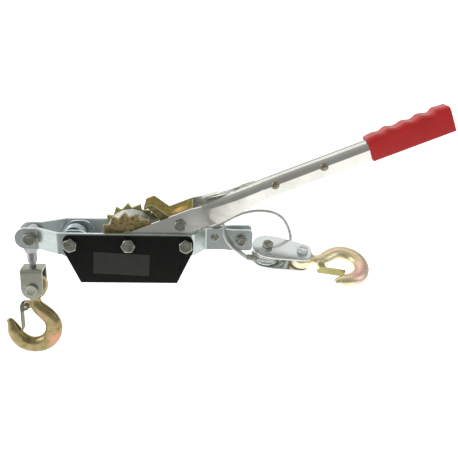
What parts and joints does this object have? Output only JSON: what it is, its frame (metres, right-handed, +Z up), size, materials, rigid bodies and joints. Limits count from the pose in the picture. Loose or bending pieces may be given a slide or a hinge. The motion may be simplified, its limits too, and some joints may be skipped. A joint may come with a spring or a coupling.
{
  "type": "come along winch",
  "caption": "Hand lever cable puller with ratchet drum between bent side straps, forked handle, swivel anchor hook and pulley block with a second hook.",
  "frame": {"origin": "midway between the lower edges of the two cover plates, directly below the drum bolt", "axes": "+X along the side straps to the pull hook, +Y from the front cover (with the bare label panel) to the rear cover, +Z up"},
  "size_m": [0.5788, 0.0965, 0.3531],
  "materials": {
    "strap": "satin zinc plate",
    "cover": "semi-gloss",
    "label": "matt",
    "fastener": "zinc plate",
    "bush": "satin",
    "wheel": "yellow zinc plate",
    "pawl": "yellow zinc plate",
    "hold_pawl": "blue zinc plate",
    "spring": "bright",
    "handle": "zinc plate",
    "rivet": "yellow zinc plate",
    "grip": "gloss",
    "knuckle": "zinc plate",
    "hook": "yellow chromate",
    "latch": "zinc plate",
    "block": "white zinc plate",
    "sheave": "turned",
    "rope": "galvanised strands",
    "sleeve": "pressed",
    "liner": "matt"
  },
  "bodies": {
    "frame": {"front_side_strap": "strap", "rear_side_strap": "strap", "front_cover_plate": "cover", "rear_cover_plate": "cover", "label_panel": "label", "pawl_bolt": "fastener", "drum_bolt": "fastener", "spacer_bolt": "fastener", "frame_nuts": "fastener", "drum_bush": "bush", "pawl_bush": "bush", "spacer_tube": "bush", "throat_rivet": "fastener", "cable_bolt": "fastener", "cable_bolt_nut": "fastener", "knuckle_bolt": "fastener", "knuckle_bolt_nut": "fastener", "pawl_spring": "spring", "spring_sleeve": "liner", "rope_run": "rope", "rope_return": "rope", "rope_eye": "rope", "rope_sleeve": "sleeve"},
    "drum": {"front_ratchet_wheel": "wheel", "rear_ratchet_wheel": "wheel", "drum_barrel": "bush", "rope_core": "rope", "rope_winding": "rope"},
    "handle": {"handle_bar": "handle", "bar_rivets": "rivet", "bar_spacers": "bush", "hand_grip": "grip", "drive_pawl_bolt": "fastener", "drive_pawl_nut": "fastener"},
    "drive_pawl": {"drive_pawl": "pawl"},
    "holding_pawl": {"holding_pawl": "hold_pawl"},
    "knuckle": {"knuckle": "knuckle"},
    "clevis": {"anchor_clevis": "knuckle", "clevis_bolt": "fastener", "clevis_nut": "fastener"},
    "anchor_hook": {"anchor_hook": "hook", "anchor_latch_pin": "fastener"},
    "anchor_latch": {"anchor_latch": "latch"},
    "block": {"upper_cheek": "block", "lower_cheek": "block", "sheave_bolt": "fastener", "pull_hook_bolt": "fastener", "block_nuts": "fastener", "rope_wrap": "rope"},
    "sheave": {"sheave": "sheave"},
    "pull_hook": {"pull_hook": "hook", "pull_latch_pin": "fastener"},
    "pull_latch": {"pull_latch": "latch"}
  },
  "joints": [
    {"name": "handle_swing", "type": "hinge", "parent": "frame", "child": "handle", "pos_m": [0, 0, 0.052], "axis": [0, -1, 0], "range_deg": [0, 96]},
    {"name": "drive_pawl_tilt", "type": "hinge", "parent": "handle", "child": "drive_pawl", "pos_m": [0.065, 0, 0.07693], "axis": [0, -1, 0], "range_deg": [-10, 15]},
    {"name": "holding_pawl_tilt", "type": "hinge", "parent": "frame", "child": "holding_pawl", "pos_m": [-0.0725, 0, 0.052], "axis": [0, -1, 0], "range_deg": [-5, 11]},
    {"name": "drum_spin", "type": "hinge", "parent": "frame", "child": "drum", "pos_m": [0, 0, 0.052], "axis": [0, 1, 0], "range_deg": [0, 1800]},
    {"name": "block_travel", "type": "slide", "parent": "frame", "child": "block", "axis": [1, 0, 0], "range_m": [0, 0.5], "deforming": ["rope_run", "rope_return"]},
    {"name": "sheave_spin", "type": "hinge", "parent": "block", "child": "sheave", "pos_m": [0.1789, -0.005, 0.0345], "axis": [-0.0421, 0.4145, -0.9091], "range_deg": [0, 1700]},
    {"name": "knuckle_swing", "type": "hinge", "parent": "frame", "child": "knuckle", "pos_m": [-0.1273, 0, 0.052], "axis": [0, 1, 0], "range_deg": [-15, 110]},
    {"name": "clevis_swivel", "type": "hinge", "parent": "knuckle", "child": "clevis", "pos_m": [-0.13, 0, 0.0055], "axis": [0, 0, 1], "continuous": true},
    {"name": "anchor_hook_swing", "type": "hinge", "parent": "clevis", "child": "anchor_hook", "pos_m": [-0.13, 0, -0.02], "axis": [0, 1, 0], "range_deg": [-40, 40]},
    {"name": "anchor_latch_open", "type": "hinge", "parent": "anchor_hook", "child": "anchor_latch", "pos_m": [-0.1425, 0, -0.0485], "axis": [0, -1, 0], "range_deg": [0, 40], "stiffness_Nm_per_rad": 0.02, "springref_deg": -28.65},
    {"name": "pull_hook_swing", "type": "hinge", "parent": "block", "child": "pull_hook", "pos_m": [0.22409, -0.01183, 0.02929], "axis": [0.0421, -0.4145, 0.9091], "range_deg": [-30, 30]},
    {"name": "pull_latch_open", "type": "hinge", "parent": "pull_hook", "child": "pull_latch", "pos_m": [0.24785, -0.02488, 0.02225], "axis": [0.0421, -0.4145, 0.9091], "range_deg": [0, 40], "stiffness_Nm_per_rad": 0.02, "springref_deg": -28.65}
  ],
  "couplings": [
    {"joint": "block_travel", "follows": "drum_spin", "m_per_rad": 0.0156},
    {"joint": "sheave_spin", "follows": "drum_spin", "ratio": 0.934}
  ]
}
